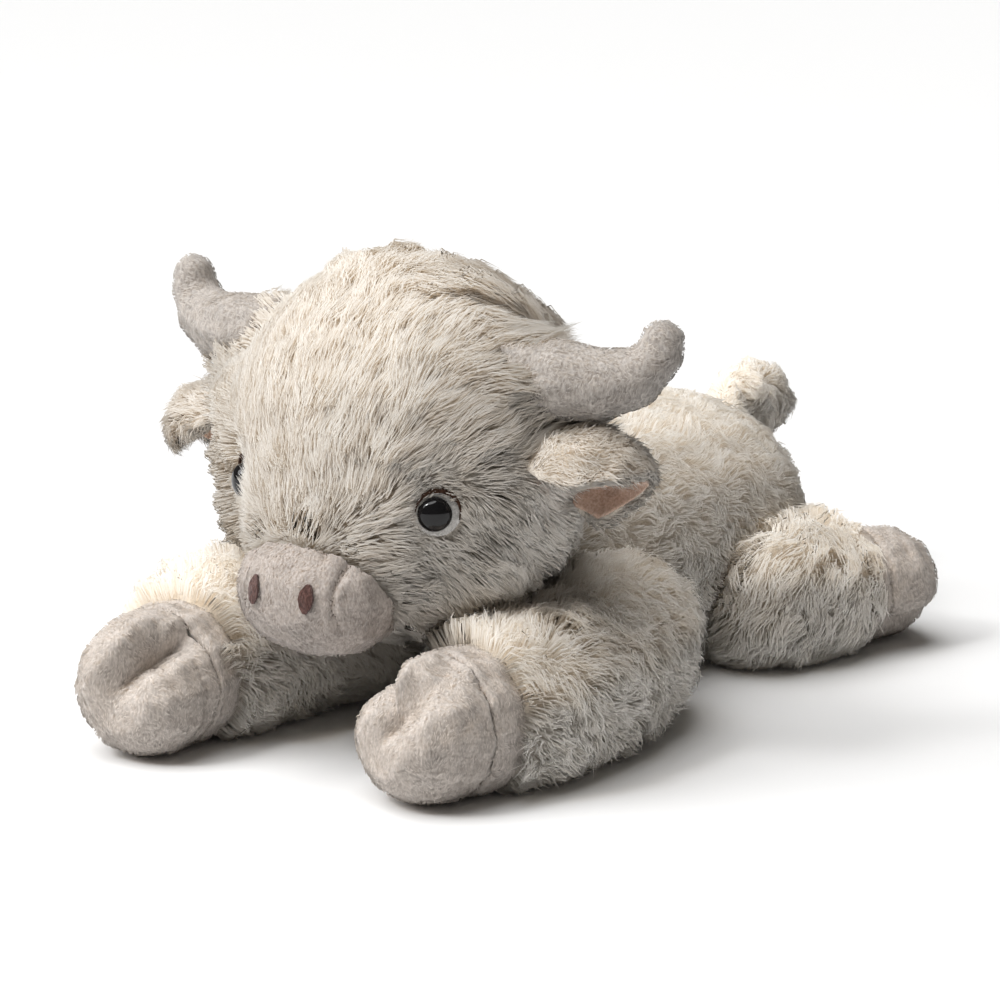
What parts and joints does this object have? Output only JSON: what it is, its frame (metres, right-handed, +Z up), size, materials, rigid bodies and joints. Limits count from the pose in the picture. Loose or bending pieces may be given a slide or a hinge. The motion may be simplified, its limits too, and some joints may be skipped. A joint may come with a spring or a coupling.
{
  "type": "plush cow",
  "caption": "Long-haired plush cow lying on its belly, with its head over its forelegs, curved horns, cupped ears, cloven hooves and a stub tail; the sewn joints give.",
  "frame": {"origin": "on the floor, under the middle of the whole cow", "axes": "+Z up, the cow looks along -Y, so +Y runs from its nose to its tail, and +X is its left side"},
  "size_m": [0.27, 0.4322, 0.219],
  "materials": {
    "fur": "long-haired plush, warm greige",
    "short_nap": "short-napped plush, grey taupe",
    "ear_lining": "short-napped plush, pinkish tan",
    "thread": "satin embroidery, dark brown",
    "pale_felt": "felt, pale grey",
    "brown_felt": "felt, dark brown",
    "fibre": "loose fibre, white",
    "eye": "polished, black",
    "washer": "moulded, natural white"
  },
  "bodies": {
    "torso": {"torso_skin": "fur", "torso_stuffing": "fibre"},
    "head": {"eye_left_button": "eye", "eye_left_white": "pale_felt", "eye_left_lid": "brown_felt", "eye_left_washer": "washer", "eye_right_button": "eye", "eye_right_white": "pale_felt", "eye_right_lid": "brown_felt", "eye_right_washer": "washer", "head_skin": "fur", "head_stuffing": "fibre", "muzzle_skin": "short_nap", "muzzle_stuffing": "fibre", "nostril_left": "thread", "nostril_right": "thread", "horn_left_skin": "short_nap", "horn_left_stuffing": "fibre", "horn_right_skin": "short_nap", "horn_right_stuffing": "fibre"},
    "ear_left": {"ear_left_back": "fur", "ear_left_lining": "ear_lining"},
    "ear_right": {"ear_right_back": "fur", "ear_right_lining": "ear_lining"},
    "tail": {"tail_skin": "fur", "tail_stuffing": "fibre"},
    "foreleg_left": {"foreleg_left_stuffing": "fibre", "foreleg_left_sleeve": "fur", "foreleg_left_hoof_band": "short_nap", "foreleg_left_hoof_toe": "short_nap"},
    "foreleg_right": {"foreleg_right_stuffing": "fibre", "foreleg_right_sleeve": "fur", "foreleg_right_hoof_band": "short_nap", "foreleg_right_hoof_toe": "short_nap"},
    "hindleg_left": {"hindleg_left_stuffing": "fibre", "hindleg_left_sleeve": "fur", "hindleg_left_hoof_band": "short_nap", "hindleg_left_hoof_toe": "short_nap"},
    "hindleg_right": {"hindleg_right_stuffing": "fibre", "hindleg_right_sleeve": "fur", "hindleg_right_hoof_band": "short_nap", "hindleg_right_hoof_toe": "short_nap"}
  },
  "joints": [
    {"name": "head_nod", "type": "hinge", "parent": "torso", "child": "head", "pos_m": [0, -0.04311, 0.1125], "axis": [-1, 0, 0], "range_deg": [0, 18]},
    {"name": "ear_left_flap", "type": "hinge", "parent": "head", "child": "ear_left", "pos_m": [0.0827, -0.11295, 0.131], "axis": [0, -1, 0], "range_deg": [-24, 8], "stiffness_Nm_per_rad": 0.03},
    {"name": "ear_right_flap", "type": "hinge", "parent": "head", "child": "ear_right", "pos_m": [-0.0827, -0.11295, 0.131], "axis": [0, 1, 0], "range_deg": [-24, 8], "stiffness_Nm_per_rad": 0.03},
    {"name": "tail_wag", "type": "hinge", "parent": "torso", "child": "tail", "pos_m": [0, 0.15913, 0.09125], "axis": [0, 0, 1], "range_deg": [-24, 24], "stiffness_Nm_per_rad": 0.03},
    {"name": "foreleg_left_spread", "type": "hinge", "parent": "torso", "child": "foreleg_left", "pos_m": [0.06993, -0.05665, 0], "axis": [0, 0, 1], "range_deg": [0, 12], "stiffness_Nm_per_rad": 0.06},
    {"name": "foreleg_right_spread", "type": "hinge", "parent": "torso", "child": "foreleg_right", "pos_m": [-0.06705, -0.07368, 0], "axis": [0, 0, -1], "range_deg": [0, 12], "stiffness_Nm_per_rad": 0.06},
    {"name": "hindleg_left_spread", "type": "hinge", "parent": "torso", "child": "hindleg_left", "pos_m": [0.07113, 0.09274, 0], "axis": [0, 0, -1], "range_deg": [0, 10], "stiffness_Nm_per_rad": 0.06},
    {"name": "hindleg_right_spread", "type": "hinge", "parent": "torso", "child": "hindleg_right", "pos_m": [-0.07113, 0.09274, 0], "axis": [0, 0, 1], "range_deg": [0, 10], "stiffness_Nm_per_rad": 0.06}
  ]
}
